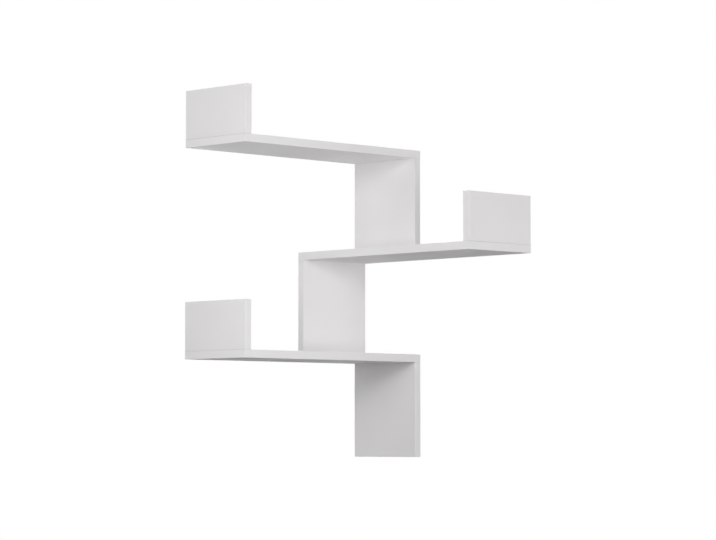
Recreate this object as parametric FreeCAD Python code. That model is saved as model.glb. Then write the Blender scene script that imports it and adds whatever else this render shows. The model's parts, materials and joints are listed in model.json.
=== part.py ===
"""Three-tier zig-zag corner shelf unit of faced board, held together by cam locks and dowels.

Frame: +Z up. The Z axis is the line where the two room walls meet. The left wall is the plane x = 0
and the right wall the plane y = 0, so the unit lies at x >= 0 and y <= 0. The foot of the bottom
upright is at z = 0.
"""
import FreeCAD, Part
import math
import os
from dataclasses import dataclass

Vector = FreeCAD.Vector

# Boards
board_thickness = 18.0
shelf_length = 545.0
shelf_depth = 200.0
upright_height = 218.5
end_panel_height = 110.0
edge_band_thickness = 1.0
edge_rounding = 0.6
largest_rounding_share = 0.9

# Where the fittings stand in each butt joint
cam_from_side = 37.0
dowel_from_cam = 32.0
cam_to_joint = 34.0

# Cam lock
cam_diameter = 14.8
cam_bore_clearance = 0.1
cam_floor_thickness = 0.7
cam_floor_clearance = 0.2
cam_sink = 0.3
cam_pull = 1.8
chamber_clearance = 0.3
cam_turn_degrees = 190.0
drive_slot_length = 8.0
drive_slot_width = 1.6
drive_slot_depth = 3.0
pointer_length = 2.2
pointer_width = 1.0
pointer_depth = 0.6

# Connecting bolt
ball_diameter = 6.6
ball_clearance = 0.1
neck_diameter = 4.0
neck_slot_clearance = 0.25
shank_from_cam = 0.6
shank_diameter = 6.4
collar_diameter = 7.6
collar_length = 2.5
bolt_thread_diameter = 6.0
bolt_thread_length = 11.0
bolt_tip_chamfer = 1.0
channel_clearance = 0.2

# Room around a thread, and beyond the end of a thread or dowel in its hole
thread_gap = 0.05
hole_end_room = 1.0

# Dowel
dowel_diameter = 8.0
dowel_length = 30.0
dowel_in_shelf = 10.0
dowel_chamfer = 0.8
glue_gap = 0.05

# Wall bracket and its screws
bracket_leg = 22.0
bracket_width = 30.0
bracket_thickness = 2.0
bracket_bend_radius = 1.0
bracket_corner_radius = 3.0
bracket_hole_from_side = 7.0
bracket_hole_from_tip = 8.0
wall_hole_diameter = 5.0
shelf_hole_clearance = 0.25
bracket_from_panel = 12.0
bracket_from_corner = 4.0
screw_diameter = 3.5
screw_length = 14.0
screw_tip_length = 3.0
screw_head_diameter = 6.8
screw_head_height = 2.2
screw_recess_length = 4.0
screw_recess_width = 0.9
screw_recess_depth = 1.3

# How far a cutting tool reaches past the face that it opens, and what counts as the same place
tool_overrun = 1.0
same_place = 1e-6

# Sizes that follow from what they hold
cam_below_bolt = ball_diameter / 2 + chamber_clearance + cam_floor_thickness
bolt_channel_diameter = collar_diameter + 2 * channel_clearance
shelf_hole_diameter = screw_diameter + 2 * shelf_hole_clearance
bracket_hole_spacing = bracket_width - 2 * bracket_hole_from_side
bracket_hole_from_bend = bracket_leg - bracket_hole_from_tip

# Heights of the three shelves' undersides
bottom_height = upright_height
middle_height = bottom_height + board_thickness + upright_height
top_height = middle_height + board_thickness + upright_height

axis_names = "xyz"


def box_between(low, high):
    """Box from its lowest to its highest corner."""
    size = Vector(*high) - Vector(*low)
    return Part.makeBox(size.x, size.y, size.z, Vector(*low))


def one_solid(shape):
    """The single solid of a shape, with faces that lie in one plane joined."""
    solids = shape.removeSplitter().Solids
    if len(solids) != 1:
        raise ValueError(f"expected one solid, found {len(solids)}")
    return solids[0]


def turned(profile, start_arc=None):
    """Solid of revolution about X. profile is a list of (x, radius) corners from end to end.

    start_arc, a pair of (x, radius) points, rounds the start: an arc from the first of them on the axis,
    through the second, to the profile's first corner.
    """
    corners = [Vector(x, radius, 0) for x, radius in profile]
    if corners[-1].y > 0:
        corners.append(Vector(corners[-1].x, 0, 0))
    if start_arc:
        tip, bulge = (Vector(x, radius, 0) for x, radius in start_arc)
        edges = [Part.Arc(tip, bulge, corners[0]).toShape()]
    else:
        tip = Vector(corners[0].x, 0, 0)
        edges = [Part.makeLine(tip, corners[0])] if corners[0].y > 0 else []
    edges += [Part.makeLine(a, b) for a, b in zip(corners, corners[1:])]
    edges.append(Part.makeLine(corners[-1], tip))
    face = Part.Face(Part.Wire(edges))
    return face.revolve(Vector(0, 0, 0), Vector(1, 0, 0), 360)


def set_in_frame(shape, x_axis, z_axis, origin):
    """A copy of a shape, with the X and Z axes it is drawn about turned to two directions, at an origin."""
    y_axis = z_axis.cross(x_axis)
    matrix = FreeCAD.Matrix(
        x_axis.x, y_axis.x, z_axis.x, origin.x,
        x_axis.y, y_axis.y, z_axis.y, origin.y,
        x_axis.z, y_axis.z, z_axis.z, origin.z,
        0, 0, 0, 1,
    )
    placed = shape.copy()
    placed.Placement = FreeCAD.Placement(matrix).multiply(shape.Placement)
    return placed


@dataclass(frozen=True)
class Board:
    """A board's finished box, the axis through its thickness and its banded sides, longest strips first."""

    low: tuple
    high: tuple
    through: str
    banded: tuple

    def core_box(self):
        """Lowest and highest corner of the core, inside the strips."""
        low, high = list(self.low), list(self.high)
        for sign, name in self.banded:
            axis = axis_names.index(name)
            if sign == "+":
                high[axis] -= edge_band_thickness
            else:
                low[axis] += edge_band_thickness
        return low, high

    def core(self):
        """The faced core board."""
        return box_between(*self.core_box())

    def strip(self, low, high, side):
        """One edge strip: a flat bar with its two outer long edges rounded."""
        bar = box_between(low, high)
        sign, name = side
        outward, through = axis_names.index(name), axis_names.index(self.through)
        outer_plane = high[outward] if sign == "+" else low[outward]
        long_edges = []
        for edge in bar.Edges:
            start, end = (vertex.Point for vertex in edge.Vertexes)
            outer = abs(start[outward] - outer_plane) + abs(end[outward] - outer_plane) < same_place
            along = abs(start[through] - end[through]) < same_place
            if outer and along:
                long_edges.append(edge)
        rounding = min(edge_rounding, largest_rounding_share * edge_band_thickness)
        return bar.makeFillet(rounding, long_edges)

    def strips(self):
        """The edge strips in the order they are glued on, each between those that are there already."""
        core_low, core_high = self.core_box()
        low, high = list(self.low), list(self.high)
        strips = []
        for sign, name in self.banded:
            axis = axis_names.index(name)
            strip_low, strip_high = list(low), list(high)
            if sign == "+":
                strip_low[axis] = high[axis] = core_high[axis]
            else:
                strip_high[axis] = low[axis] = core_low[axis]
            strips.append(self.strip(strip_low, strip_high, (sign, name)))
        return strips


@dataclass(frozen=True)
class Joint:
    """A butt joint where an upright or end panel meets a shelf's face.

    start is the joint's end at the wall, at mid thickness of the edge board. along runs from the wall to the
    front, into_shelf from the edge board into the shelf, and cam_face out of the face where the cams open.
    """

    shelf: str
    edge_board: str
    name: str
    start: tuple
    along: tuple
    into_shelf: tuple
    cam_face: tuple

    def place(self, shape, distance):
        """A fitting drawn with its cam centre at the origin, set at a distance along the joint.

        In the drawing +X runs into the shelf and +Z out of the cam's face.
        """
        into_shelf = Vector(*self.into_shelf)
        centre = Vector(*self.start) + Vector(*self.along) * distance - into_shelf * cam_to_joint
        return set_in_frame(shape, into_shelf, Vector(*self.cam_face), centre)


# Distances along a joint, from the wall to the front
cam_places = {"rear": cam_from_side, "front": shelf_depth - cam_from_side}
dowel_places = [place + step for place, step in zip(cam_places.values(), (dowel_from_cam, -dowel_from_cam))]


def shelf_on_left_wall(height):
    """A shelf that runs along the left wall."""
    low = (0, -shelf_length, height)
    high = (shelf_depth, 0, height + board_thickness)
    return Board(low, high, "z", ("-x", "+x", "-y", "+y"))


def shelf_on_right_wall(height):
    """A shelf that runs along the right wall."""
    low = (0, -shelf_depth, height)
    high = (shelf_length, 0, height + board_thickness)
    return Board(low, high, "z", ("-y", "+y", "-x", "+x"))


def upright_on_right_wall(foot, banded):
    """An upright that lies flat on the right wall."""
    low = (0, -board_thickness, foot)
    high = (shelf_depth, 0, foot + upright_height)
    return Board(low, high, "y", banded)


def end_panel_on_left_shelf(height):
    """An end panel on the far end of a shelf that runs along the left wall."""
    low = (0, -shelf_length, height)
    high = (shelf_depth, -shelf_length + board_thickness, height + end_panel_height)
    return Board(low, high, "y", ("-x", "+x", "+z"))


boards = {
    "top_shelf": shelf_on_left_wall(top_height),
    "middle_shelf": shelf_on_right_wall(middle_height),
    "bottom_shelf": shelf_on_left_wall(bottom_height),
    "top_upright": upright_on_right_wall(middle_height + board_thickness, ("-x", "+x")),
    "middle_upright": Board(
        (0, -shelf_depth, bottom_height + board_thickness),
        (board_thickness, 0, middle_height),
        "x",
        ("-y", "+y"),
    ),
    "bottom_upright": upright_on_right_wall(0, ("-x", "+x", "-z")),
    "top_end_panel": end_panel_on_left_shelf(top_height + board_thickness),
    "middle_end_panel": Board(
        (shelf_length - board_thickness, -shelf_depth, middle_height + board_thickness),
        (shelf_length, 0, middle_height + board_thickness + end_panel_height),
        "x",
        ("-y", "+y", "+z"),
    ),
    "bottom_end_panel": end_panel_on_left_shelf(bottom_height + board_thickness),
}


def joint_across_left_wall(shelf, edge_board, name, mid_y, height, into_shelf):
    """A joint that runs out from the left wall, with its cams open towards the right wall."""
    return Joint(shelf, edge_board, name, (0, mid_y, height), (1, 0, 0), into_shelf, (0, 1, 0))


def joint_across_right_wall(shelf, edge_board, name, mid_x, height, into_shelf):
    """A joint that runs out from the right wall, with its cams open towards the left wall."""
    return Joint(shelf, edge_board, name, (mid_x, 0, height), (0, -1, 0), into_shelf, (-1, 0, 0))


half_board = board_thickness / 2
up, down = (0, 0, 1), (0, 0, -1)
joints = [
    joint_across_left_wall("top_shelf", "top_upright", "top_upright_upper", -half_board, top_height, up),
    joint_across_left_wall(
        "middle_shelf", "top_upright", "top_upright_lower", -half_board,
        middle_height + board_thickness, down,
    ),
    joint_across_right_wall(
        "middle_shelf", "middle_upright", "middle_upright_upper", half_board, middle_height, up
    ),
    joint_across_right_wall(
        "bottom_shelf", "middle_upright", "middle_upright_lower", half_board,
        bottom_height + board_thickness, down,
    ),
    joint_across_left_wall(
        "bottom_shelf", "bottom_upright", "bottom_upright_upper", -half_board, bottom_height, up
    ),
    joint_across_left_wall(
        "top_shelf", "top_end_panel", "top_end_panel", -shelf_length + half_board,
        top_height + board_thickness, down,
    ),
    joint_across_right_wall(
        "middle_shelf", "middle_end_panel", "middle_end_panel", shelf_length - half_board,
        middle_height + board_thickness, down,
    ),
    joint_across_left_wall(
        "bottom_shelf", "bottom_end_panel", "bottom_end_panel", -shelf_length + half_board,
        bottom_height + board_thickness, down,
    ),
]


def cylinder_along_x(diameter, start, end):
    """Cylinder about X."""
    return Part.makeCylinder(diameter / 2, end - start, Vector(start, 0, 0), Vector(1, 0, 0))


def make_cam():
    """Cam lock, locked, drawn with its bolt along +X and its drive face at the top.

    A round pocket holds the bolt's ball behind the two lips of the neck's slot. An eccentric chamber draws
    the lips away from the ball as the cam is turned back, and the slot ends in an entry hole as wide as
    the ball.
    """
    radius = cam_diameter / 2
    top = board_thickness / 2 - cam_sink
    reach = radius + tool_overrun
    pocket_radius = ball_diameter / 2 + ball_clearance
    slot_width = neck_diameter + 2 * neck_slot_clearance
    lip_radius = math.sqrt(pocket_radius**2 - (slot_width / 2) ** 2)
    eccentricity = cam_pull / 2
    chamber_half_height = ball_diameter / 2 + chamber_clearance
    body = Part.makeCylinder(radius, cam_below_bolt + top, Vector(0, 0, -cam_below_bolt))
    pocket = Part.makeSphere(pocket_radius)
    chamber = Part.makeCylinder(
        lip_radius + eccentricity, 2 * chamber_half_height, Vector(-eccentricity, 0, -chamber_half_height)
    )
    slot_floor = Vector(0, 0, -slot_width / 2)
    sector = Part.makeCylinder(reach, slot_width, slot_floor, Vector(0, 0, 1), cam_turn_degrees)
    sector.rotate(Vector(0, 0, 0), Vector(0, 0, 1), -cam_turn_degrees)
    locked_end = Part.makeBox(reach, slot_width, slot_width, Vector(0, -slot_width / 2, -slot_width / 2))
    entry = cylinder_along_x(2 * pocket_radius, eccentricity, reach)
    entry.rotate(Vector(0, 0, 0), Vector(0, 0, 1), -cam_turn_degrees)
    drive_floor = top - drive_slot_depth
    drive_height = drive_slot_depth + tool_overrun
    slot_x = Part.makeBox(
        drive_slot_length, drive_slot_width, drive_height,
        Vector(-drive_slot_length / 2, -drive_slot_width / 2, drive_floor),
    )
    slot_y = Part.makeBox(
        drive_slot_width, drive_slot_length, drive_height,
        Vector(-drive_slot_width / 2, -drive_slot_length / 2, drive_floor),
    )
    pointer = Part.makeBox(
        pointer_length + tool_overrun, pointer_width, pointer_depth + tool_overrun,
        Vector(radius - pointer_length, -pointer_width / 2, top - pointer_depth),
    )
    hollows = [pocket, chamber, sector, locked_end, entry, slot_x.fuse(slot_y), pointer]
    return one_solid(body.cut(hollows))


def make_bolt():
    """Connecting bolt: ball, neck, shank, collar on the shelf's face and thread in the shelf."""
    ball_radius = ball_diameter / 2
    neck_radius = neck_diameter / 2
    thread_radius = bolt_thread_diameter / 2
    neck_start = math.sqrt(ball_radius**2 - neck_radius**2)
    neck_end = cam_diameter / 2 + shank_from_cam
    collar_start = cam_to_joint - collar_length
    tip = cam_to_joint + bolt_thread_length
    profile = [
        (neck_start, neck_radius),
        (neck_end, neck_radius),
        (neck_end, shank_diameter / 2),
        (collar_start, shank_diameter / 2),
        (collar_start, collar_diameter / 2),
        (cam_to_joint, collar_diameter / 2),
        (cam_to_joint, thread_radius),
        (tip - bolt_tip_chamfer, thread_radius),
        (tip, thread_radius - bolt_tip_chamfer),
    ]
    return turned(profile, start_arc=[(-ball_radius, 0), (0, ball_radius)])


def make_dowel():
    """Round wooden dowel with chamfered ends."""
    radius = dowel_diameter / 2
    start = cam_to_joint + dowel_in_shelf - dowel_length
    end = start + dowel_length
    return turned([
        (start, radius - dowel_chamfer),
        (start + dowel_chamfer, radius),
        (end - dowel_chamfer, radius),
        (end, radius - dowel_chamfer),
    ])


def cam_drilling():
    """What a cam and its bolt take out of the edge board: the cam's bore and the bolt's channel."""
    bore_bottom = cam_below_bolt + cam_floor_clearance
    bore_radius = cam_diameter / 2 + cam_bore_clearance
    bore_depth = bore_bottom + board_thickness / 2 + tool_overrun
    bore = Part.makeCylinder(bore_radius, bore_depth, Vector(0, 0, -bore_bottom))
    return bore.fuse(cylinder_along_x(bolt_channel_diameter, 0, cam_to_joint + tool_overrun))


def thread_drilling():
    """The hole for the bolt's thread in the shelf's face."""
    depth = cam_to_joint + bolt_thread_length + hole_end_room
    return cylinder_along_x(bolt_thread_diameter + 2 * thread_gap, cam_to_joint - tool_overrun, depth)


def dowel_drilling():
    """The dowel's hole, through the joint into both boards."""
    start = cam_to_joint + dowel_in_shelf - dowel_length - hole_end_room
    end = cam_to_joint + dowel_in_shelf + hole_end_room
    return cylinder_along_x(dowel_diameter + 2 * glue_gap, start, end)


@dataclass(frozen=True)
class BracketPlace:
    """Where a wall bracket stands: the middle of its bend line on a shelf, and the way out from the wall."""

    shelf: str
    foot: tuple
    out: tuple

    def place(self, shape):
        """A shape drawn with the wall at x = 0 and the shelf's face at z = 0, set in place."""
        return set_in_frame(shape, Vector(*self.out), Vector(0, 0, 1), Vector(*self.foot))


bracket_far = shelf_length - board_thickness - bracket_from_panel - bracket_width / 2
bracket_near = bracket_from_corner + bracket_width / 2
brackets = {
    "top_far_bracket": BracketPlace("top_shelf", (0, -bracket_far, top_height + board_thickness), (1, 0, 0)),
    "top_corner_bracket": BracketPlace(
        "top_shelf", (bracket_near, 0, top_height + board_thickness), (0, -1, 0)
    ),
    "middle_far_bracket": BracketPlace(
        "middle_shelf", (bracket_far, 0, middle_height + board_thickness), (0, -1, 0)
    ),
    "bottom_far_bracket": BracketPlace(
        "bottom_shelf", (0, -bracket_far, bottom_height + board_thickness), (1, 0, 0)
    ),
}
bracket_hole_places = (-bracket_hole_spacing / 2, bracket_hole_spacing / 2)


def make_bracket():
    """Bent steel angle: one leg on the wall, one on the shelf, two holes in each."""
    outer_radius = bracket_bend_radius + bracket_thickness
    wall_leg = Part.makeBox(bracket_thickness, bracket_width, bracket_leg)
    shelf_leg = Part.makeBox(bracket_leg, bracket_width, bracket_thickness)
    angle = wall_leg.fuse(shelf_leg).removeSplitter()
    angle.translate(Vector(0, -bracket_width / 2, 0))

    def bend_edge(x, z):
        """The edge of the bend that runs along Y at a given x and z."""
        return [e for e in angle.Edges if e.CenterOfMass.distanceToPoint(Vector(x, 0, z)) < same_place]

    angle = angle.makeFillet(bracket_bend_radius, bend_edge(bracket_thickness, bracket_thickness))
    angle = angle.makeFillet(outer_radius, bend_edge(0, 0))
    corners = []
    for edge in angle.Edges:
        middle = edge.CenterOfMass
        at_side = abs(abs(middle.y) - bracket_width / 2) < same_place
        at_tip = abs(max(middle.x, middle.z) - bracket_leg) < same_place
        if at_side and at_tip:
            corners.append(edge)
    angle = angle.makeFillet(bracket_corner_radius, corners)
    holes = []
    for place in bracket_hole_places:
        wall_hole = Vector(-tool_overrun, place, bracket_hole_from_bend)
        shelf_hole = Vector(bracket_hole_from_bend, place, -tool_overrun)
        depth = bracket_thickness + 2 * tool_overrun
        holes.append(Part.makeCylinder(wall_hole_diameter / 2, depth, wall_hole, Vector(1, 0, 0)))
        holes.append(Part.makeCylinder(shelf_hole_diameter / 2, depth, shelf_hole))
    return one_solid(angle.cut(holes))


def make_screws():
    """The two pan-head screws that hold a bracket's leg to its shelf."""
    head_radius = screw_head_diameter / 2
    shank_radius = screw_diameter / 2
    profile = [
        (-screw_length, 0.0),
        (screw_tip_length - screw_length, shank_radius),
        (0, shank_radius),
        (0, head_radius),
        (screw_head_height / 2, head_radius),
        (screw_head_height, head_radius - screw_head_height / 2),
    ]
    screw = turned(profile)
    long_side, short_side = screw_recess_length, screw_recess_width
    floor = screw_head_height - screw_recess_depth
    depth = screw_recess_depth + tool_overrun
    upright_arm = Part.makeBox(depth, long_side, short_side, Vector(floor, -long_side / 2, -short_side / 2))
    level_arm = Part.makeBox(depth, short_side, long_side, Vector(floor, -short_side / 2, -long_side / 2))
    screw = one_solid(screw.cut([upright_arm, level_arm]))
    screw.rotate(Vector(0, 0, 0), Vector(0, 1, 0), -90)
    screws = []
    for place in bracket_hole_places:
        copy = screw.copy()
        copy.translate(Vector(bracket_hole_from_bend, place, bracket_thickness))
        screws.append(copy)
    return screws


def screw_drilling():
    """The pilot holes for a bracket's two screws in its shelf."""
    depth = screw_length - bracket_thickness + hole_end_room
    radius = screw_diameter / 2 + thread_gap
    holes = []
    for place in bracket_hole_places:
        foot = Vector(bracket_hole_from_bend, place, -depth)
        holes.append(Part.makeCylinder(radius, depth + tool_overrun, foot))
    return Part.makeCompound(holes)


def collect_drillings():
    """The cutting tools of each board, by the board's name."""
    drillings = {name: [] for name in boards}
    for joint in joints:
        for place in cam_places.values():
            drillings[joint.edge_board].append(joint.place(cam_drilling(), place))
            drillings[joint.shelf].append(joint.place(thread_drilling(), place))
        for place in dowel_places:
            for board in (joint.edge_board, joint.shelf):
                drillings[board].append(joint.place(dowel_drilling(), place))
    for bracket in brackets.values():
        drillings[bracket.shelf].append(bracket.place(screw_drilling()))
    return drillings


def make_nodes():
    """Every node's list of solids, by the node's name."""
    nodes = {}
    for name, tools in collect_drillings().items():
        nodes[name] = [one_solid(boards[name].core().cut(tools))]
        nodes[f"{name}_edge_bands"] = boards[name].strips()
    cam, bolt, dowel = make_cam(), make_bolt(), make_dowel()
    nodes["cam_bolts"] = []
    nodes["dowels"] = []
    for joint in joints:
        for end, place in cam_places.items():
            nodes[f"{joint.name}_{end}_cam"] = [joint.place(cam, place)]
            nodes["cam_bolts"].append(joint.place(bolt, place))
        nodes["dowels"] += [joint.place(dowel, place) for place in dowel_places]
    nodes["bracket_screws"] = []
    for name, bracket in brackets.items():
        nodes[name] = [bracket.place(make_bracket())]
        nodes["bracket_screws"] += [bracket.place(screw) for screw in make_screws()]
    return nodes


os.makedirs("parts", exist_ok=True)
for node, solids in make_nodes().items():
    shape = solids[0] if len(solids) == 1 else Part.makeCompound(solids)
    if not shape.isValid():
        raise ValueError(f"{node} is not valid")
    shape.exportStep(f"parts/{node}.step")
    print(node, len(solids), f"{sum(solid.Volume for solid in solids) / 1000:.2f} cm3")
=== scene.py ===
"""Looks of a white zig-zag corner shelf unit: boards, edge strips, fittings, studio and camera.

Lengths are metres in the part's own frame. The Z axis is the line where the two room walls meet, the left
wall is the plane x = 0, the right wall is the plane y = 0, and z = 0 is the foot of the bottom upright.
"""
import json
import logging
import math
from dataclasses import dataclass
from enum import Enum

import bpy
import numpy as np
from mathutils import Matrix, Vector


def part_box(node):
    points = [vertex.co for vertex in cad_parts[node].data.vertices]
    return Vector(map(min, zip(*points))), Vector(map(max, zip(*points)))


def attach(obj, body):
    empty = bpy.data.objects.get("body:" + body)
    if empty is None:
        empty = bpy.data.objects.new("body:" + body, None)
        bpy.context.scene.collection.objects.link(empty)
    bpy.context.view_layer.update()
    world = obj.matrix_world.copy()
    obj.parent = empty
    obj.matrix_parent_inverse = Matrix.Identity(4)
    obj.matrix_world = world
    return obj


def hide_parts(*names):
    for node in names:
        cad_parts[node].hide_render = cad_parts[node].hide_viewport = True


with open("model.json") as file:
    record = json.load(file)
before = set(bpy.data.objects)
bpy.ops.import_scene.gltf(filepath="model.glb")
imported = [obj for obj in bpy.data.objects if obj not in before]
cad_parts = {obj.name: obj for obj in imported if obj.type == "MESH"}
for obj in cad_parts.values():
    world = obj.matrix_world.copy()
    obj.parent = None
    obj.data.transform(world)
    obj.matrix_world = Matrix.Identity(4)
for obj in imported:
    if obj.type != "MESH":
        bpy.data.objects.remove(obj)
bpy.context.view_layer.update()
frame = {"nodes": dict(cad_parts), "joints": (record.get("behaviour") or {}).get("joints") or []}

log = logging.getLogger("corner_shelf")

Colour = tuple[float, float, float]
Point = tuple[float, float, float]
Socket = bpy.types.NodeSocket
Feed = float | tuple[float, ...] | Socket

MM = 0.001
UPWARD: Point = (0.0, 0.0, 1.0)
PURE_WHITE: Colour = (1.0, 1.0, 1.0)
BOARD_WHITE: Colour = (0.882, 0.868, 0.873)
# Painted shade: the dark colour of the line along each joint between boards, in place of the shadow in the
# joint's fine groove
JOINT_SHADE_COLOUR: Colour = (0.46, 0.45, 0.45)
# A height below the unit, for a board's end that meets no shelf
NOWHERE = -1.0
# The direction from the corner into the room, as an angle from X
ROOM_DEGREES = -45.0
FIXED_BODY = "shelf_unit"


class Through(Enum):
    """The axis through a board's thickness."""

    X = 0
    Y = 1
    Z = 2


class Wall(Enum):
    """The wall that a bracket is screwed to, by the direction out of it."""

    LEFT = (1.0, 0.0, 0.0)
    RIGHT = (0.0, -1.0, 0.0)


class Way(Enum):
    """The way a connecting bolt points from its cam into its shelf."""

    UP = UPWARD
    DOWN = (0.0, 0.0, -1.0)


class NodeBench:
    """Makes, sets and wires the nodes of one node tree."""

    def __init__(self, tree: bpy.types.NodeTree) -> None:
        """Works on a tree.

        Args:
            tree: The node tree to add to.
        """
        self.tree = tree

    def feed(self, socket: Socket, value: Feed) -> None:
        """Wires a socket, or sets its value.

        Args:
            socket: The input to feed.
            value: An output to link from, or a plain value.
        """
        if isinstance(value, Socket):
            self.tree.links.new(value, socket)
        else:
            socket.default_value = value

    def node(
        self, kind: str, inputs: dict[str | int, Feed] | None = None, **settings: object
    ) -> bpy.types.Node:
        """Adds a node.

        Args:
            kind: The node's type name.
            inputs: What feeds each input, by its name or number.
            settings: Values of the node's own options.

        Returns:
            The new node.
        """
        made = self.tree.nodes.new(kind)
        for name, value in settings.items():
            setattr(made, name, value)
        for name, value in (inputs or {}).items():
            self.feed(made.inputs[name], value)
        return made

    def math(self, operation: str, first: Feed, second: Feed = 0.0) -> Socket:
        """One step of arithmetic.

        Args:
            operation: The arithmetic's name.
            first: Its first value.
            second: Its second value.

        Returns:
            The result's socket.
        """
        return self.node("ShaderNodeMath", {0: first, 1: second}, operation=operation).outputs[0]

    def vector(self, operation: str, first: Feed, second: Feed, output: str = "Vector") -> Socket:
        """One step of vector arithmetic.

        Args:
            operation: The arithmetic's name.
            first: Its first vector.
            second: Its second vector.
            output: The output that holds the result.

        Returns:
            The result's socket.
        """
        made = self.node("ShaderNodeVectorMath", {0: first, 1: second}, operation=operation)
        return made.outputs[output]

    def along(self, place: Feed, direction: Feed) -> Socket:
        """How far a place lies along a direction of length 1."""
        return self.vector("DOT_PRODUCT", place, direction, "Value")

    def apart(self, first: Feed, second: Feed) -> Socket:
        """How far apart two values are."""
        return self.math("ABSOLUTE", self.math("SUBTRACT", first, second))

    def span(
        self, value: Feed, low: Feed, high: Feed, to_low: Feed = 0.0, to_high: Feed = 1.0
    ) -> Socket:
        """A value carried smoothly from one span to another.

        Args:
            value: The value to carry.
            low: Where the first span starts.
            high: Where the first span ends.
            to_low: Where the second span starts.
            to_high: Where the second span ends.

        Returns:
            The result's socket.
        """
        inputs = {"Value": value, "From Min": low, "From Max": high, "To Min": to_low, "To Max": to_high}
        return self.node("ShaderNodeMapRange", inputs, interpolation_type="SMOOTHSTEP").outputs["Result"]

    def blend(self, share: Feed, first: Feed, second: Feed) -> Socket:
        """A mix of two colours.

        Args:
            share: The second colour's share.
            first: The first colour.
            second: The second colour.

        Returns:
            The mixed colour's socket.
        """
        mixed = self.node("ShaderNodeMix", data_type="RGBA")
        sockets = {socket.identifier: socket for socket in mixed.inputs}
        self.feed(sockets["Factor_Float"], share)
        self.feed(sockets["A_Color"], first)
        self.feed(sockets["B_Color"], second)
        return next(socket for socket in mixed.outputs if socket.identifier == "Result_Color")

    def noise(self, place: Feed, scale: Feed, layers: float) -> Socket:
        """Smooth noise from 0 to 1.

        Args:
            place: The coordinates.
            scale: Its fineness, in grains per unit of the coordinates.
            layers: How many finer layers it has.

        Returns:
            The noise's socket.
        """
        pattern = {"Vector": place, "Scale": scale, "Detail": layers}
        return self.node("ShaderNodeTexNoise", pattern).outputs[0]


def spaced(name: str) -> str:
    """A socket's name, from a Python name with underscores for its spaces."""
    return name.replace("_", " ")


def opaque(colour: Colour) -> tuple[float, float, float, float]:
    """A colour with full opacity."""
    return (*colour, 1.0)


class Effect:
    """A shader node group with named inputs and outputs, built once and placed where it is used."""

    SOCKETS = {"value": "NodeSocketFloat", "vector": "NodeSocketVector", "colour": "NodeSocketColor"}

    def __init__(self, name: str, inputs: dict[str, str], outputs: dict[str, str]) -> None:
        """Starts a group.

        Args:
            name: The group's name.
            inputs: The kind of each input, by its name.
            outputs: The kind of each output, by its name.
        """
        self.tree = bpy.data.node_groups.new(name, "ShaderNodeTree")
        for label, kind in inputs.items():
            self.tree.interface.new_socket(label, in_out="INPUT", socket_type=self.SOCKETS[kind])
        for label, kind in outputs.items():
            self.tree.interface.new_socket(label, in_out="OUTPUT", socket_type=self.SOCKETS[kind])
        self.bench = NodeBench(self.tree)
        self.inputs = self.bench.node("NodeGroupInput").outputs
        self.result = self.bench.node("NodeGroupOutput").inputs

    def put_out(self, **values: Socket) -> "Effect":
        """Wires the group's outputs.

        Args:
            values: What feeds each output, by its name with underscores for spaces.

        Returns:
            The finished group.
        """
        for name, value in values.items():
            self.bench.feed(self.result[spaced(name)], value)
        return self

    def place(self, bench: NodeBench, **inputs: Feed) -> bpy.types.bpy_prop_collection:
        """Places the group in a material.

        Args:
            bench: The material's bench.
            inputs: What feeds each input, by its name with underscores for spaces.

        Returns:
            The placed group's outputs.
        """
        placed = bench.node("ShaderNodeGroup", node_tree=self.tree)
        for name, value in inputs.items():
            bench.feed(placed.inputs[spaced(name)], value)
        return placed.outputs


def pearl_grain(layers: float = 3.0, cell_share: float = 0.5) -> Effect:
    """The pressed pearl grain of a faced surface: soft noise with shallow round cells in it.

    Args:
        layers: How many finer layers the noise has.
        cell_share: How high the cells stand against the noise.

    Returns:
        The finished group.
    """
    effect = Effect("pearl_grain", {"Place": "vector", "Grains": "value"}, {"Height": "value"})
    bench, inputs = effect.bench, effect.inputs
    soft = bench.noise(inputs["Place"], inputs["Grains"], layers)
    pattern = {"Vector": inputs["Place"], "Scale": inputs["Grains"]}
    cells = bench.node("ShaderNodeTexVoronoi", pattern, feature="SMOOTH_F1")
    rounded = bench.math("MULTIPLY", cells.outputs["Distance"], cell_share)
    return effect.put_out(Height=bench.math("ADD", soft, rounded))


def handling_haze(layers: float = 5.0, patch_span: tuple[float, float] = (0.3, 0.7)) -> Effect:
    """Faint patches where a surface is a little duller or shinier.

    Args:
        layers: How many finer layers the noise has.
        patch_span: The noise where a patch starts, and where it is full.

    Returns:
        The finished group.
    """
    effect = Effect(
        "handling_haze",
        {"Place": "vector", "Patches": "value", "Low": "value", "High": "value"},
        {"Value": "value", "Patch": "value"},
    )
    bench, inputs = effect.bench, effect.inputs
    patch = bench.span(bench.noise(inputs["Place"], inputs["Patches"], layers), *patch_span)
    return effect.put_out(Value=bench.span(patch, 0.0, 1.0, inputs["Low"], inputs["High"]), Patch=patch)


def facing_layer() -> Effect:
    """Where a board shows its facing, and where a cut or a bore shows the core between the facings.

    The mask is 1 where the distance from the board's middle plane reaches half its thickness less the
    facing.

    Returns:
        The finished group.
    """
    effect = Effect(
        "facing_layer",
        {
            "Place": "vector", "Through": "vector",
            "Middle": "value", "Half Thickness": "value", "Facing": "value",
        },
        {"Mask": "value"},
    )
    bench, inputs = effect.bench, effect.inputs
    distance = bench.apart(bench.along(inputs["Place"], inputs["Through"]), inputs["Middle"])
    core_edge = bench.math("SUBTRACT", inputs["Half Thickness"], inputs["Facing"])
    return effect.put_out(Mask=bench.math("GREATER_THAN", distance, core_edge))


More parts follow.
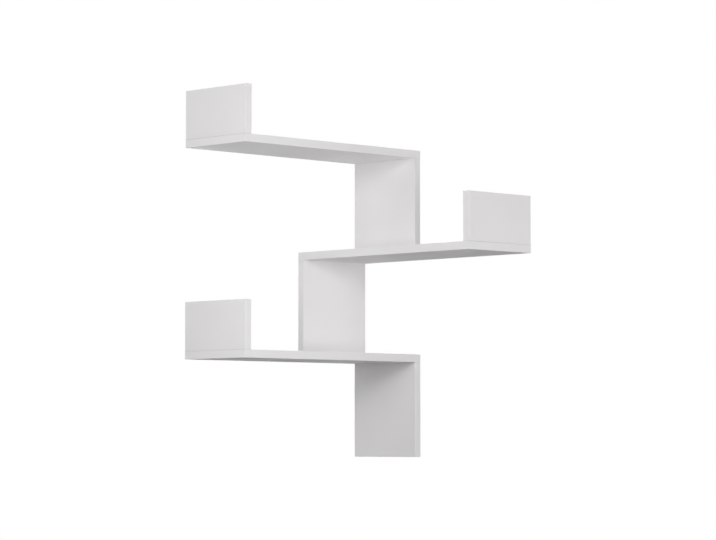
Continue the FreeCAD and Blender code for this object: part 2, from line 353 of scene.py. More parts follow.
def wood_chips() -> Effect:
    """The pressed wood chips of a board's core: cells of uneven browns.

    Returns:
        The finished group.
    """
    effect = Effect(
        "wood_chips",
        {"Place": "vector", "Chips": "value", "Pale": "colour", "Dark": "colour"},
        {"Color": "colour"},
    )
    bench, inputs = effect.bench, effect.inputs
    cells = bench.node("ShaderNodeTexVoronoi", {"Vector": inputs["Place"], "Scale": inputs["Chips"]})
    shade = bench.node("ShaderNodeSeparateColor", {0: cells.outputs["Color"]}).outputs[0]
    return effect.put_out(Color=bench.blend(shade, inputs["Pale"], inputs["Dark"]))


def joint_shade() -> Effect:
    """The painted shade line where a standing board meets a shelf, at its foot and at its head.

    The mask is 1 at the height of either end, and falls to 0 over the line's width.

    Returns:
        The finished group.
    """
    effect = Effect(
        "joint_shade",
        {"Place": "vector", "Foot": "value", "Head": "value", "Width": "value"},
        {"Mask": "value"},
    )
    bench, inputs = effect.bench, effect.inputs
    height = bench.along(inputs["Place"], UPWARD)
    from_foot, from_head = bench.apart(height, inputs["Foot"]), bench.apart(height, inputs["Head"])
    nearest = bench.math("MINIMUM", from_foot, from_head)
    return effect.put_out(Mask=bench.span(nearest, 0.0, inputs["Width"], 1.0, 0.0))


def fine_scratches(layers: float = 4.0, level: float = 0.5, width: float = 0.02) -> Effect:
    """Hairline scratches: thin contour lines of a noise drawn out along one direction.

    Args:
        layers: How many finer layers the noise has.
        level: The noise on the middle of a scratch.
        width: How far from that level a scratch ends.

    Returns:
        The finished group.
    """
    effect = Effect("fine_scratches", {"Place": "vector", "Stretch": "vector"}, {"Mask": "value"})
    bench, inputs = effect.bench, effect.inputs
    drawn_out = bench.vector("MULTIPLY", inputs["Place"], inputs["Stretch"])
    from_line = bench.apart(bench.noise(drawn_out, 1.0, layers), level)
    return effect.put_out(Mask=bench.span(from_line, 0.0, width, 1.0, 0.0))


@dataclass(frozen=True)
class Effects:
    """The node groups that the finishes share."""

    grain: Effect
    haze: Effect
    facing: Effect
    chips: Effect
    # The painted shade line where boards meet
    joints: Effect
    scratches: Effect


class Material:
    """A new material with one Principled shader, and a bench to wire it on."""

    def __init__(self, name: str) -> None:
        """Starts a material.

        Args:
            name: The material's name.
        """
        self.data = bpy.data.materials.new(name)
        self.data.use_nodes = True
        self.data.node_tree.nodes.clear()
        self.bench = NodeBench(self.data.node_tree)
        self.shader = self.bench.node("ShaderNodeBsdfPrincipled")
        self.output = self.bench.node("ShaderNodeOutputMaterial", {"Surface": self.shader.outputs[0]})
        self.place = self.bench.node("ShaderNodeTexCoord").outputs["Object"]

    def set(self, **values: Feed) -> None:
        """Feeds the shader's sockets.

        Args:
            values: What feeds each socket, by its name with underscores for spaces.
        """
        for name, value in values.items():
            self.bench.feed(self.shader.inputs[spaced(name)], value)

    def bump(self, height: Socket, depth: float, strength: float = 1.0) -> None:
        """Raises the surface by a height map.

        Args:
            height: The height map's socket.
            depth: How high a height of 1 stands.
            strength: How much of it shows.
        """
        inputs = {"Height": height, "Distance": depth, "Strength": strength}
        raised = self.bench.node("ShaderNodeBump", inputs)
        self.set(Normal=raised.outputs[0])


@dataclass(frozen=True)
class BoardPlace:
    """Where a board lies: its thickness and middle plane, and the heights where it meets shelves."""

    name: str
    through: Through
    middle: float
    half: float
    foot_joint: float
    head_joint: float
    joint_shade_width: float

    @classmethod
    def of(cls, name: str, foot_butts: bool, head_butts: bool, joint_shade_width: float) -> "BoardPlace":
        """Reads a board's place from its CAD box.

        Args:
            name: The board's node.
            foot_butts: Whether its foot stands on a shelf.
            head_butts: Whether its head is under a shelf.
            joint_shade_width: How wide the line of its joints shows.

        Returns:
            The board's place.
        """
        low, high = (np.array(corner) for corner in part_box(name))
        axis = int(np.argmin(high - low))
        middle, half = (high + low)[axis] / 2, (high - low)[axis] / 2
        foot = low[2] if foot_butts else NOWHERE
        head = high[2] if head_butts else NOWHERE
        return cls(name, Through(axis), middle, half, foot, head, joint_shade_width)

    def joint_shade_mask(self, effects: Effects, made: Material) -> Socket:
        """A mask of the painted shade lines where the board meets its shelves.

        Args:
            effects: The shared node groups.
            made: The material that uses it.

        Returns:
            The mask's socket.
        """
        lines = {"Foot": self.foot_joint, "Head": self.head_joint, "Width": self.joint_shade_width}
        return effects.joints.place(made.bench, Place=made.place, **lines)["Mask"]


@dataclass(frozen=True)
class FacedBoardFinish:
    """White melamine paper on both faces of a chipboard core."""

    white: Colour = BOARD_WHITE
    shaded_white: Colour = (0.870, 0.856, 0.860)
    joint_shade_colour: Colour = JOINT_SHADE_COLOUR
    pale_chip: Colour = (0.56, 0.41, 0.25)
    dark_chip: Colour = (0.25, 0.16, 0.085)
    facing: float = 0.2 * MM
    grains: float = 1100.0
    grain_depth: float = 0.1 * MM
    grain_strength: float = 0.6
    patches: float = 9.0
    roughness_span: tuple[float, float] = (0.50, 0.60)
    core_roughness: float = 0.9
    specular: float = 0.16
    chips: float = 700.0

    def material(self, effects: Effects, board: BoardPlace) -> Material:
        """The finish of one board.

        Args:
            effects: The shared node groups.
            board: The board's place.

        Returns:
            The new material.
        """
        made = Material(f"faced_{board.name}")
        bench, place = made.bench, made.place
        axis = tuple(float(board.through.value == index) for index in range(3))
        middle, half = board.middle, board.half
        low, high = self.roughness_span
        mask = effects.facing.place(
            bench, Place=place, Through=axis, Middle=middle, Half_Thickness=half, Facing=self.facing
        )["Mask"]
        haze = effects.haze.place(bench, Place=place, Patches=self.patches, Low=low, High=high)
        grain = effects.grain.place(bench, Place=place, Grains=self.grains)["Height"]
        core = effects.chips.place(
            bench, Place=place, Chips=self.chips, Pale=opaque(self.pale_chip), Dark=opaque(self.dark_chip)
        )["Color"]
        clean = bench.blend(haze["Patch"], opaque(self.white), opaque(self.shaded_white))
        # Painted shade: the paper darkens to a fine line where the board meets a shelf
        paper = bench.blend(board.joint_shade_mask(effects, made), clean, opaque(self.joint_shade_colour))
        bare = bench.math("SUBTRACT", self.core_roughness, mask)
        made.set(Base_Color=bench.blend(mask, core, paper))
        made.set(Roughness=bench.math("MAXIMUM", haze["Value"], bare), Specular_IOR_Level=self.specular)
        made.bump(grain, self.grain_depth, self.grain_strength)
        return made


@dataclass(frozen=True)
class EdgeStripFinish:
    """White plastic strip, a shade smoother than the board's faces."""

    white: Colour = BOARD_WHITE
    shaded_white: Colour = (0.872, 0.858, 0.862)
    joint_shade_colour: Colour = JOINT_SHADE_COLOUR
    grains: float = 1600.0
    grain_depth: float = 0.04 * MM
    grain_strength: float = 0.3
    patches: float = 24.0
    roughness_span: tuple[float, float] = (0.50, 0.58)
    specular: float = 0.12

    def material(self, effects: Effects, board: BoardPlace) -> Material:
        """The finish of one board's edge strips.

        Args:
            effects: The shared node groups.
            board: The board's place.

        Returns:
            The new material.
        """
        made = Material(f"strips_{board.name}")
        bench, place = made.bench, made.place
        low, high = self.roughness_span
        haze = effects.haze.place(bench, Place=place, Patches=self.patches, Low=low, High=high)
        grain = effects.grain.place(bench, Place=place, Grains=self.grains)["Height"]
        clean = bench.blend(haze["Patch"], opaque(self.white), opaque(self.shaded_white))
        # Painted shade: the strip darkens to a fine line where the board meets a shelf
        line = board.joint_shade_mask(effects, made)
        made.set(Base_Color=bench.blend(line, clean, opaque(self.joint_shade_colour)))
        made.set(Roughness=haze["Value"], Specular_IOR_Level=self.specular)
        made.bump(grain, self.grain_depth, self.grain_strength)
        return made


@dataclass(frozen=True)
class MetalFinish:
    """Bare or plated metal with dull patches and hairline scratches."""

    name: str
    clean: Colour
    dull: Colour
    scratch: Colour
    roughness_span: tuple[float, float]
    patches: float
    stretch: Point
    grains: float
    grain_depth: float
    grain_strength: float = 0.4
    scratch_share: float = 0.5

    def material(self, effects: Effects) -> Material:
        """The finish as a material.

        Args:
            effects: The shared node groups.

        Returns:
            The new material.
        """
        made = Material(self.name)
        bench, place = made.bench, made.place
        low, high = self.roughness_span
        haze = effects.haze.place(bench, Place=place, Patches=self.patches, Low=low, High=high)
        scratches = effects.scratches.place(bench, Place=place, Stretch=self.stretch)["Mask"]
        grain = effects.grain.place(bench, Place=place, Grains=self.grains)["Height"]
        plain = bench.blend(haze["Patch"], opaque(self.clean), opaque(self.dull))
        scratched = bench.math("MULTIPLY", scratches, self.scratch_share)
        made.set(Base_Color=bench.blend(scratched, plain, opaque(self.scratch)))
        made.set(Roughness=haze["Value"], Metallic=1.0)
        made.bump(grain, self.grain_depth, self.grain_strength)
        return made


CAST_ZINC = MetalFinish(
    name="cast_zinc",
    clean=(0.40, 0.41, 0.42),
    dull=(0.30, 0.31, 0.32),
    scratch=(0.56, 0.57, 0.58),
    roughness_span=(0.38, 0.54),
    patches=420.0,
    stretch=(900.0, 300.0, 900.0),
    grains=2600.0,
    grain_depth=0.06 * MM,
)
PLATED_STEEL = MetalFinish(
    name="plated_steel",
    clean=(0.42, 0.43, 0.44),
    dull=(0.36, 0.36, 0.35),
    scratch=(0.54, 0.54, 0.54),
    roughness_span=(0.28, 0.42),
    patches=260.0,
    stretch=(420.0, 420.0, 1500.0),
    grains=1800.0,
    grain_depth=0.02 * MM,
)


@dataclass(frozen=True)
class BeechFinish:
    """Raw beech with its fibres along Z, as every dowel stands."""

    pale: Colour = (0.66, 0.47, 0.29)
    dark: Colour = (0.50, 0.32, 0.18)
    fibre_stretch: Point = (2600.0, 2600.0, 90.0)
    fibre_layers: float = 3.0
    fibre_depth: float = 0.08 * MM
    roughness: float = 0.72

    def material(self) -> Material:
        """The finish as a material.

        Returns:
            The new material.
        """
        made = Material("raw_beech")
        bench = made.bench
        drawn_out = bench.vector("MULTIPLY", made.place, self.fibre_stretch)
        fibres = bench.noise(drawn_out, 1.0, self.fibre_layers)
        made.set(Base_Color=bench.blend(fibres, opaque(self.pale), opaque(self.dark)))
        made.set(Roughness=self.roughness)
        made.bump(fibres, self.fibre_depth)
        return made


def ring_angles(around: int) -> np.ndarray:
    """Evenly spaced angles once round a ring."""
    return np.linspace(0.0, 2.0 * np.pi, around, endpoint=False)


def ring_cells(count: int, around: int) -> np.ndarray:
    """The cells of a grid of rings: two neighbours on a ring, and the same two on the next ring.

    Args:
        count: How many rings the grid has.
        around: How many points a ring has.

    Returns:
        The four corners of each cell, as numbers of points.
    """
    ring, column = np.meshgrid(np.arange(count - 1), np.arange(around), indexing="ij")
    after = (column + 1) % around
    here, onward = ring * around, (ring + 1) * around
    return np.stack([here + column, here + after, onward + after, onward + column], -1).reshape(-1, 4)


@dataclass(frozen=True)
class Surface:
    """A closed surface: a grid of points that is closed round each ring, and to a pole at each end.

    Each ring of the grid runs once round the piece, and the first and last rings are drawn in to the poles.
    """

    rings: np.ndarray
    poles: np.ndarray

    def vertices(self) -> np.ndarray:
        """All points: the rings one after the other, then the two poles."""
        return np.concatenate([self.rings.reshape(-1, 3), self.poles])

    def triangles(self) -> np.ndarray:
        """The fans from the first and last ring to their poles.

        Returns:
            The three corners of each triangle, as numbers of points.
        """
        count, around = self.rings.shape[:2]
        column = np.arange(around)
        after = (column + 1) % around
        last = (count - 1) * around
        first_pole = np.full(around, count * around)
        first_fan = np.stack([first_pole, after, column], -1)
        last_fan = np.stack([first_pole + 1, last + column, last + after], -1)
        return np.concatenate([first_fan, last_fan])

    def piece(
        self, name: str, places: np.ndarray, finish: Material, sharp_degrees: float
    ) -> bpy.types.Object:
        """One object that holds a copy of the surface at each place.

        Args:
            name: The piece's name.
            places: One 4 by 4 placing matrix for each copy.
            finish: The piece's material.
            sharp_degrees: Edges that turn by more than this stay sharp.

        Returns:
            The new object, with its place in its mesh.
        """
        vertices = self.vertices()
        points = np.c_[vertices, np.ones(len(vertices))]
        placed = np.einsum("kij,nj->kni", places, points)[:, :, :3]
        shift = (np.arange(len(places)) * len(points))[:, None, None]
        quads = (ring_cells(*self.rings.shape[:2]) + shift).reshape(-1, 4).tolist()
        triangles = (self.triangles() + shift).reshape(-1, 3).tolist()
        mesh = bpy.data.meshes.new(name)
        mesh.from_pydata(placed.reshape(-1, 3).tolist(), [], quads + triangles)
        mesh.validate()
        mesh.shade_smooth()
        mesh.set_sharp_from_angle(angle=math.radians(sharp_degrees))
        mesh.materials.append(finish.data)
        made = bpy.data.objects.new(name, mesh)
        bpy.context.scene.collection.objects.link(made)
        log.info("%s: %d copies, %d faces", name, len(places), len(mesh.polygons))
        return made


def smooth_step(value: np.ndarray) -> np.ndarray:
    """A value held between 0 and 1 and eased at both ends: 3 v squared minus 2 v cubed."""
    held = np.clip(value, 0.0, 1.0)
    return held * held * (3.0 - 2.0 * held)


def runs(corners: list[tuple[float, float]], counts: list[int]) -> tuple[np.ndarray, np.ndarray]:
    """Points along straight runs between corners, each run divided evenly.

    Args:
        corners: The (distance, radius) corners.
        counts: How many points each run has, its last corner left to the next run.

    Returns:
        The points' distances and radii.
    """
    path = np.array(corners)
    shares = [np.linspace(0.0, 1.0, count, endpoint=False)[:, None] for count in counts]
    pieces = [start + share * (end - start) for start, end, share in zip(path, path[1:], shares)]
    points = np.concatenate([*pieces, path[-1:]])
    return points[:, 0], points[:, 1]


def wrapped(distance: np.ndarray, radius: np.ndarray, angle: np.ndarray) -> np.ndarray:
    """Rings of points about X: (x, r cos a, r sin a) for each distance x, radius r and angle a."""
    return np.stack([distance, radius * np.cos(angle), radius * np.sin(angle)], -1)


def thread_groove(
    distance: np.ndarray, angle: np.ndarray, pitch: float, start: float, end: float
) -> np.ndarray:
    """Depth of a screw thread's groove, from 0 on its crest to 1 at its root.

    The phase is x / pitch - a / 2 pi, less its whole turns. The groove is |2 phase - 1|, faded out over
    half a pitch at both ends.

    Args:
        distance: Each point's distance along the axis.
        angle: Each point's angle round the axis.
        pitch: The thread's pitch.
        start: Where the thread starts.
        end: Where the thread ends.

    Returns:
        The groove's depth at each point.
    """
    phase = (distance / pitch - angle / (2.0 * np.pi)) % 1.0
    half_pitch = pitch / 2
    fade = smooth_step((distance - start) / half_pitch) * smooth_step((end - distance) / half_pitch)
    return np.abs(2.0 * phase - 1.0) * fade


def placing(x_axis: np.ndarray, z_axis: np.ndarray, origin: np.ndarray) -> np.ndarray:
    """The matrix that turns X and Z to two directions and moves the origin to a point.

    Args:
        x_axis: The direction that X turns to.
        z_axis: The direction that Z turns to.
        origin: The point that the origin moves to.

    Returns:
        The 4 by 4 matrix.
    """
    matrix = np.eye(4)
    matrix[:3, 0] = x_axis
    matrix[:3, 1] = np.cross(z_axis, x_axis)
    matrix[:3, 2] = z_axis
    matrix[:3, 3] = origin
    return matrix


@dataclass(frozen=True)
class ButtJoint:
    """A butt joint's two cams, from the frame."""

    rear: np.ndarray
    front: np.ndarray
    face: np.ndarray
    way: Way

    @classmethod
    def all_of(cls, joints: list[dict]) -> list["ButtJoint"]:
        """Every butt joint, by the hinges of its rear and front cam.

        Args:
            joints: The frame's joints.

        Returns:
            The butt joints in the frame's order.
        """
        hinges = {hinge["child"]: hinge for hinge in joints}
        found = []
        for child, hinge in hinges.items():
            joint = child.removesuffix("_rear_cam")
            if joint != child:
                front = hinges[f"{joint}_front_cam"]
                way = Way.UP if joint.endswith("_upper") else Way.DOWN
                centres = [np.array(cam["pos_m"], float) for cam in (hinge, front)]
                found.append(cls(*centres, np.array(hinge["axis"], float), way))
        return found

    def bolt_places(self) -> list[np.ndarray]:
        """Where the two bolts go: X into the shelf, Z out of the cams' face, from each cam's centre."""
        return [placing(np.array(self.way.value), self.face, cam) for cam in (self.rear, self.front)]

    def dowel_places(self, from_cam: float) -> list[np.ndarray]:
        """Where the two dowels go: beside each cam, towards the other.

        Args:
            from_cam: How far a dowel is from its cam.

        Returns:
            A placing matrix for each dowel.
        """
        inward = (self.front - self.rear) / np.linalg.norm(self.front - self.rear)
        centres = (self.rear + inward * from_cam, self.front - inward * from_cam)
        return [placing(np.array(self.way.value), self.face, centre) for centre in centres]


@dataclass(frozen=True)
class ConnectingBolt:
    """Steel bolt whose ball sits in a cam and whose coarse thread bites the shelf."""

    ball: float = 6.6 * MM
    neck: float = 4.0 * MM
    neck_end: float = 8.0 * MM
    shank: float = 6.4 * MM
    collar: float = 7.6 * MM
    collar_start: float = 31.5 * MM
    joint: float = 34.0 * MM
    thread: float = 6.0 * MM
    thread_end: float = 45.0 * MM
    thread_pitch: float = 2.2 * MM
    thread_depth: float = 0.75 * MM
    tip_chamfer: float = 1.0 * MM
    ease: float = 0.25 * MM
    around: int = 32
    ball_rings: int = 9
    thread_rings: int = 54
    tip_rings: int = 4

    def surface(self) -> Surface:
        """The bolt along X: a turned profile, with the thread's groove cut into its end.

        The ball is (-R cos a, R sin a) from its pole to the neck. The groove lowers the thread's radius.

        Returns:
            The bolt's surface.
        """
        radius = self.ball / 2
        to_neck = np.pi - math.asin(self.neck / self.ball)
        turn = np.linspace(0.0, to_neck, self.ball_rings + 1)[1:]
        corners = [
            (-radius * math.cos(to_neck), self.neck / 2),
            (self.neck_end, self.neck / 2),
            (self.neck_end, self.shank / 2 - self.ease),
            (self.neck_end + self.ease, self.shank / 2),
            (self.collar_start, self.shank / 2),
            (self.collar_start, self.collar / 2 - self.ease),
            (self.collar_start + self.ease, self.collar / 2),
            (self.joint, self.collar / 2),
            (self.joint, self.thread / 2),
            (self.thread_end - self.tip_chamfer, self.thread / 2),
            (self.thread_end, self.thread / 2 - self.tip_chamfer),
        ]
        divided = [self.thread_rings, self.tip_rings]
        undivided = [1] * (len(corners) - 1 - len(divided))
        stem_distance, stem_radius = runs(corners, undivided + divided)
        distance = np.concatenate([-radius * np.cos(turn), stem_distance[1:]])
        plain = np.concatenate([radius * np.sin(turn), stem_radius[1:]])
        distance, angle = np.broadcast_arrays(distance[:, None], ring_angles(self.around)[None, :])
        groove = thread_groove(distance, angle, self.thread_pitch, self.joint, self.thread_end)
        rings = wrapped(distance, plain[:, None] - self.thread_depth * groove, angle)
        return Surface(rings, np.array([(-radius, 0.0, 0.0), (self.thread_end, 0.0, 0.0)]))


@dataclass(frozen=True)
class FlutedDowel:
    """Beech dowel with shallow flutes that let the glue out, chamfered at both ends."""

    diameter: float = 8.0 * MM
    start: float = 14.0 * MM
    end: float = 44.0 * MM
    chamfer: float = 0.8 * MM
    flutes: int = 18
    flute_depth: float = 0.3 * MM
    flute_rings: int = 6
    chamfer_rings: int = 2
    around: int = 108

    def surface(self) -> Surface:
        """The dowel along X: a turned profile whose radius drops in each flute.

        The drop is the flutes' depth times cos(n a / 2) squared, for n flutes at the angle a.

        Returns:
            The dowel's surface.
        """
        radius = self.diameter / 2
        corners = [
            (self.start, radius - self.chamfer),
            (self.start + self.chamfer, radius),
            (self.end - self.chamfer, radius),
            (self.end, radius - self.chamfer),
        ]
        distance, plain = runs(corners, [self.chamfer_rings, self.flute_rings, self.chamfer_rings])
        distance, angle = np.broadcast_arrays(distance[:, None], ring_angles(self.around)[None, :])
        flute = np.cos(0.5 * self.flutes * angle) ** 2
        rings = wrapped(distance, plain[:, None] - self.flute_depth * flute, angle)
        return Surface(rings, np.array([(self.start, 0.0, 0.0), (self.end, 0.0, 0.0)]))


@dataclass(frozen=True)
class BracketScrew:
    """Pan-head wood screw with a cross recess."""

    head: float = 6.8 * MM
    head_height: float = 2.2 * MM
    head_side: float = 0.7 * MM
    dome_power: float = 2.6
    recess_length: float = 4.2 * MM
    recess_width: float = 1.0 * MM
    recess_depth: float = 1.3 * MM
    recess_flank: float = 0.22 * MM
    recess_end_flank: float = 0.66 * MM
    shank: float = 3.5 * MM
    length: float = 14.0 * MM
    tip: float = 3.0 * MM
    point_share: float = 0.02
    pitch: float = 1.5 * MM
    thread_start: float = 0.75 * MM
    thread_depth: float = 0.5 * MM
    around: int = 96
    dome_rings: int = 30
    thread_rings: int = 64
    tip_rings: int = 12

    def recess_arm(self, across: np.ndarray, along: np.ndarray) -> np.ndarray:
        """How deep one arm of the cross recess is below the dome.

        The arm is a slot with sloped flanks: the depth times the eased room to its side and to its end.

        Args:
            across: Each point's place across the arm.
            along: Each point's place along the arm.

        Returns:
            The depth at each point.
        """
        to_side = (self.recess_width / 2 - np.abs(across)) / self.recess_flank
        to_end = (self.recess_length / 2 - np.abs(along)) / self.recess_end_flank
        return self.recess_depth * smooth_step(to_side) * smooth_step(to_end)

    def surface(self) -> Surface:
        """The screw along X, its head's underside at 0: dome with recess, side, thread and point.

        The dome's height is s + (h - s) (1 - (r / R) ^ p) ^ (1 / p) for the side s, height h and power p.

        Returns:
            The screw's surface.
        """
        radius = self.head / 2
        angle = ring_angles(self.around)
        share = np.linspace(0.0, 1.0, self.dome_rings + 1)[1:, None]
        dome_radius = radius * np.sin(0.5 * np.pi * share)
        crown = (1.0 - (dome_radius / radius) ** self.dome_power) ** (1.0 / self.dome_power)
        height = self.head_side + (self.head_height - self.head_side) * crown
        across, along = dome_radius * np.cos(angle), dome_radius * np.sin(angle)
        recess = np.maximum(self.recess_arm(across, along), self.recess_arm(along, across))
        dome = wrapped(height - recess, dome_radius, angle[None, :])
        stem = [
            (0.0, radius),
            (0.0, self.shank / 2),
            (self.tip - self.length, self.shank / 2),
            (self.point_share * self.tip - self.length, self.point_share * self.shank),
        ]
        distance, plain = runs(stem, [1, self.thread_rings, self.tip_rings])
        distance, turned = np.broadcast_arrays(distance[:, None], angle[None, :])
        # The screw points along -X, so both are turned round for a right-hand thread
        groove = thread_groove(-distance, -turned, self.pitch, self.thread_start, self.length)
        kept = 1.0 - groove * self.thread_depth / (self.shank / 2)
        thread = wrapped(distance, plain[:, None] * kept, turned)
        poles = np.array([(-self.length, 0.0, 0.0), (self.head_height - self.recess_depth, 0.0, 0.0)])
        # The rings run along X, from the point to the dome, so that the faces point outwards
        return Surface(np.concatenate([dome, thread])[::-1], poles)


@dataclass(frozen=True)
class WallBracket:
    """A steel angle between a shelf and a wall, and its two screws' places."""

    node: str
    wall: Wall
    thickness: float = 2.0 * MM
    hole_from_bend: float = 14.0 * MM
    hole_spacing: float = 16.0 * MM

    def screw_places(self) -> list[np.ndarray]:
        """Where the two screws go: X up, from the middle of each hole, on top of the leg on the shelf.

        Returns:
            A placing matrix for each screw.
        """
        low, high = (np.array(corner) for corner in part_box(self.node))
        out = np.array(self.wall.value)
        upward = np.array(UPWARD)
        bend = np.where(out > 0, low, np.where(out < 0, high, (low + high) / 2))
        bend[2] = low[2] + self.thickness
        between = bend + out * self.hole_from_bend
        aside = np.cross(upward, out) * self.hole_spacing / 2
        return [placing(upward, out, hole) for hole in (between - aside, between + aside)]


def wear(node: str, finish: Material) -> None:
    """Gives a CAD node a finish.

    Args:
        node: The node's name.
        finish: Its material.
    """
    for slot in frame["nodes"][node].material_slots:
        slot.material = finish.data
    log.info("%s wears %s", node, finish.data.name)


@dataclass(frozen=True)
class Boards:
    """The nine boards and their edge strips."""

    standing_tiers: tuple[str, ...] = ("top", "middle")
    tiers: tuple[str, ...] = ("top", "middle", "bottom")
    # Widths of the painted shade line at the joints: fine at the uprights, wider under the end panels
    close_joint_shade: float = 0.12 * MM
    panel_joint_shade: float = 0.6 * MM

    def places(self) -> list[BoardPlace]:
        """Where each board lies. Uprights hang under shelves, and two of them stand on shelves too.

        The photograph shows a fine dark line under each end panel and next to none at the uprights.

        Returns:
            The boards' places.
        """
        found = []
        for tier in self.tiers:
            stands = tier in self.standing_tiers
            found.append(BoardPlace.of(f"{tier}_shelf", False, False, self.close_joint_shade))
            found.append(BoardPlace.of(f"{tier}_upright", stands, True, self.close_joint_shade))
            found.append(BoardPlace.of(f"{tier}_end_panel", True, False, self.panel_joint_shade))
        return found

    def dress(self, effects: Effects) -> None:
        """Finishes every board and its strips.

        Args:
            effects: The shared node groups.
        """
        facing, strips = FacedBoardFinish(), EdgeStripFinish()
        for board in self.places():
            wear(board.name, facing.material(effects, board))
            wear(f"{board.name}_edge_bands", strips.material(effects, board))


@dataclass(frozen=True)
class Fittings:
    """The cams, bolts, dowels, brackets and screws."""

    dowel_from_cam: float = 32.0 * MM
    sharp_degrees: float = 35.0
    brackets: tuple[WallBracket, ...] = (
        WallBracket("top_far_bracket", Wall.LEFT),
        WallBracket("top_corner_bracket", Wall.RIGHT),
        WallBracket("middle_far_bracket", Wall.RIGHT),
        WallBracket("bottom_far_bracket", Wall.LEFT),
    )

    def stand_for(self, piece: bpy.types.Object, node: str) -> None:
        """Puts a detailed piece in a CAD node's place.

        Args:
            piece: The piece.
            node: The node that it stands for.
        """
        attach(piece, FIXED_BODY)
        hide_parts(node)

    def build(self, effects: Effects) -> None:
        """Makes the detailed fasteners and finishes the cams and brackets.

        Args:
            effects: The shared node groups.
        """
        zinc, steel = CAST_ZINC.material(effects), PLATED_STEEL.material(effects)
        joints = ButtJoint.all_of(frame["joints"])
        bolts = np.array([place for joint in joints for place in joint.bolt_places()])
        dowels = np.array([place for joint in joints for place in joint.dowel_places(self.dowel_from_cam)])
        screws = np.array([place for bracket in self.brackets for place in bracket.screw_places()])
        threaded = ConnectingBolt().surface().piece("threaded_bolts", bolts, steel, self.sharp_degrees)
        self.stand_for(threaded, "cam_bolts")
        beech = BeechFinish().material()
        fluted = FlutedDowel().surface().piece("fluted_dowels", dowels, beech, self.sharp_degrees)
        self.stand_for(fluted, "dowels")
        headed = BracketScrew().surface().piece("pan_head_screws", screws, steel, self.sharp_degrees)
        self.stand_for(headed, "bracket_screws")
        for hinge in frame["joints"]:
            wear(hinge["child"], zinc)
        for bracket in self.brackets:
            wear(bracket.node, steel)


@dataclass(frozen=True)
class Softbox:
    """A square soft lamp on a circle about the unit, turned to its middle.

    The turn is seen from above and counts from the room's side of the corner: 0 lies straight before the
    unit, 90 to the right of it and 180 behind it.
    """

    name: str
    turn_degrees: float
    height: float
    power: float
    side: float = 0.8
    reach: float = 1.6

    def hang(self, middle: Point) -> None:
        """Adds the lamp to the scene, out of the camera's sight.

        Args:
            middle: The point that it looks at.
        """
        data = bpy.data.lights.new(self.name, "AREA")
        data.shape = "SQUARE"
        data.size = self.side
        data.energy = self.power
        lamp = bpy.data.objects.new(self.name, data)
        angle = math.radians(ROOM_DEGREES + self.turn_degrees)
        drop = self.height - middle[2]
        across, along = self.reach * math.cos(angle), self.reach * math.sin(angle)
        lamp.location = (middle[0] + across, middle[1] + along, self.height)
        lamp.rotation_euler = (math.atan2(self.reach, drop), 0.0, angle + math.pi / 2)
        lamp.visible_camera = False
        bpy.context.scene.collection.objects.link(lamp)


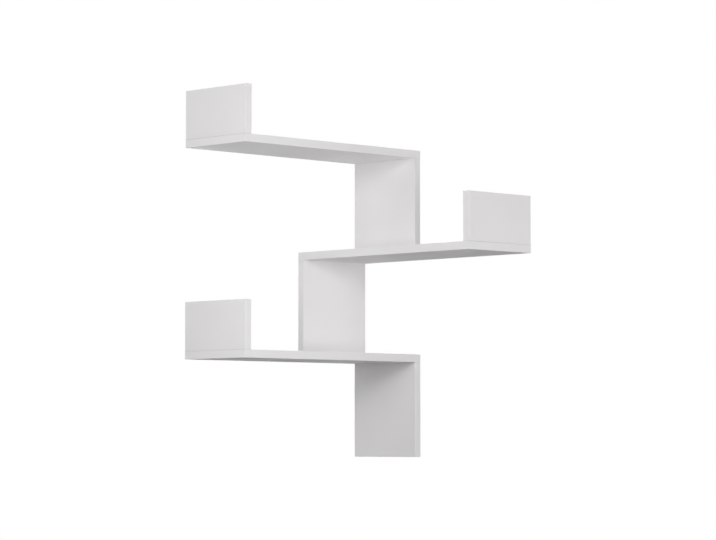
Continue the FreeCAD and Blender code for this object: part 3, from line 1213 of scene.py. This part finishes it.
@dataclass(frozen=True)
class Studio:
    """Plain pale floor well below the hung unit, white background and soft light."""

    floor_height: float = -1.5
    floor_radius: float = 7.0
    floor_rings: int = 24
    floor_around: int = 64
    floor_colour: Colour = (0.4, 0.4, 0.4)
    floor_roughness: float = 0.9
    fade_span: tuple[float, float] = (0.4, 3.0)
    fade_share: tuple[float, float] = (0.6, 1.0)
    ambient_strength: float = 0.06
    middle: Point = (0.27, -0.27, 0.41)
    lamps: tuple[Softbox, ...] = (
        Softbox("key", turn_degrees=0.0, height=1.7, power=51.0, side=1.2, reach=5.0),
        Softbox("low_right", turn_degrees=30.0, height=0.0, power=45.0, side=1.9, reach=5.0),
        Softbox("front_left", turn_degrees=-27.0, height=0.5, power=11.5),
        Softbox("right", turn_degrees=60.0, height=0.3, power=6.0),
        Softbox("left_high", turn_degrees=-92.0, height=1.4, power=3.4),
        Softbox("left_rear", turn_degrees=220.0, height=0.45, power=6.0, reach=1.2),
        Softbox("right_rear", turn_degrees=140.0, height=0.8, power=8.0),
        Softbox("rear", turn_degrees=180.0, height=1.2, power=12.0, side=1.2, reach=2.5),
        Softbox("top", turn_degrees=0.0, height=3.6, power=43.0, side=1.8, reach=0.1),
    )

    def sees_background(self, bench: NodeBench) -> Socket:
        """1 for a ray that shows the background: from the camera, or mirrored, or through something clear.

        Args:
            bench: The bench of the material or world that asks.

        Returns:
            The answer's socket.
        """
        path = bench.node("ShaderNodeLightPath").outputs
        seen = bench.math("MAXIMUM", path["Is Camera Ray"], path["Is Glossy Ray"])
        return bench.math("MAXIMUM", seen, path["Is Transmission Ray"])

    def light_world(self) -> None:
        """White background for what sees it, and soft light from all round for the rest."""
        world = bpy.data.worlds.new("studio")
        world.use_nodes = True
        world.node_tree.nodes.clear()
        bench = NodeBench(world.node_tree)
        colour = opaque(PURE_WHITE)
        soft = bench.node("ShaderNodeBackground", {"Color": colour, "Strength": self.ambient_strength})
        white = bench.node("ShaderNodeBackground", {"Color": colour, "Strength": 1.0})
        seen = self.sees_background(bench)
        mixed = bench.node("ShaderNodeMixShader", {0: seen, 1: soft.outputs[0], 2: white.outputs[0]})
        bench.node("ShaderNodeOutputWorld", {"Surface": mixed.outputs[0]})
        bpy.context.scene.world = world

    def floor_material(self) -> Material:
        """Pale floor that keeps shadows near the unit and fades into the white background.

        Returns:
            The new material.
        """
        made = Material("studio_floor")
        bench = made.bench
        made.set(Base_Color=opaque(self.floor_colour), Roughness=self.floor_roughness)
        below_middle = (self.middle[0], self.middle[1], self.floor_height)
        reach = bench.vector("DISTANCE", made.place, below_middle, "Value")
        fade = bench.span(reach, *self.fade_span, *self.fade_share)
        white = bench.node("ShaderNodeEmission", {"Color": opaque(PURE_WHITE), "Strength": 1.0})
        share = bench.math("MULTIPLY", fade, self.sees_background(bench))
        plain = made.shader.outputs[0]
        mixed = bench.node("ShaderNodeMixShader", {0: share, 1: plain, 2: white.outputs[0]})
        bench.feed(made.output.inputs["Surface"], mixed.outputs[0])
        return made

    def lay_floor(self) -> None:
        """A flat disc: rings of points (x + r cos a, y + r sin a) about the unit's middle."""
        radius = np.linspace(0.0, self.floor_radius, self.floor_rings + 1)[1:, None]
        angle = ring_angles(self.floor_around)[None, :]
        flat = [self.middle[0] + radius * np.cos(angle), self.middle[1] + radius * np.sin(angle)]
        rings = np.stack([*flat, np.full_like(flat[0], self.floor_height)], -1)
        # The rings grow outwards, so each cell is turned over to face up
        quads = ring_cells(self.floor_rings, self.floor_around)[:, ::-1].tolist()
        inner = list(range(self.floor_around))
        mesh = bpy.data.meshes.new("studio_floor")
        mesh.from_pydata(rings.reshape(-1, 3).tolist(), [], [inner] + quads)
        mesh.materials.append(self.floor_material().data)
        floor = bpy.data.objects.new("studio_floor", mesh)
        bpy.context.scene.collection.objects.link(floor)

    def build(self) -> None:
        """Lays the floor, lights the world and hangs the lamps."""
        self.lay_floor()
        self.light_world()
        for lamp in self.lamps:
            lamp.hang(self.middle)


@dataclass(frozen=True)
class PhotoCamera:
    """The camera at the photograph's viewpoint: level with the unit's foot, looking slightly up."""

    place: Point = (4.70, -4.59, 0.043)
    yaw_degrees: float = 45.72
    pitch_degrees: float = 3.467
    lens_mm: float = 139.7
    sensor_mm: float = 36.0
    far_clip: float = 100.0

    def set_up(self) -> None:
        """Adds the camera and makes it the scene's own."""
        data = bpy.data.cameras.new("photo_camera")
        data.sensor_width = self.sensor_mm
        data.lens = self.lens_mm
        data.clip_end = self.far_clip
        camera = bpy.data.objects.new("photo_camera", data)
        camera.location = self.place
        # A camera looks straight down until it is turned, so a quarter turn makes it level
        tilt = math.pi / 2 + math.radians(self.pitch_degrees)
        camera.rotation_euler = (tilt, 0.0, math.radians(self.yaw_degrees))
        bpy.context.scene.collection.objects.link(camera)
        bpy.context.scene.camera = camera


def main() -> None:
    """Dresses the unit, then builds the studio and the camera."""
    logging.basicConfig(level=logging.INFO, format="%(name)s: %(message)s")
    effects = Effects(
        grain=pearl_grain(),
        haze=handling_haze(),
        facing=facing_layer(),
        chips=wood_chips(),
        joints=joint_shade(),
        scratches=fine_scratches(),
    )
    Boards().dress(effects)
    Fittings().build(effects)
    Studio().build()
    PhotoCamera().set_up()
    bpy.context.scene.view_settings.view_transform = "Standard"


if __name__ == "__main__":
    main()
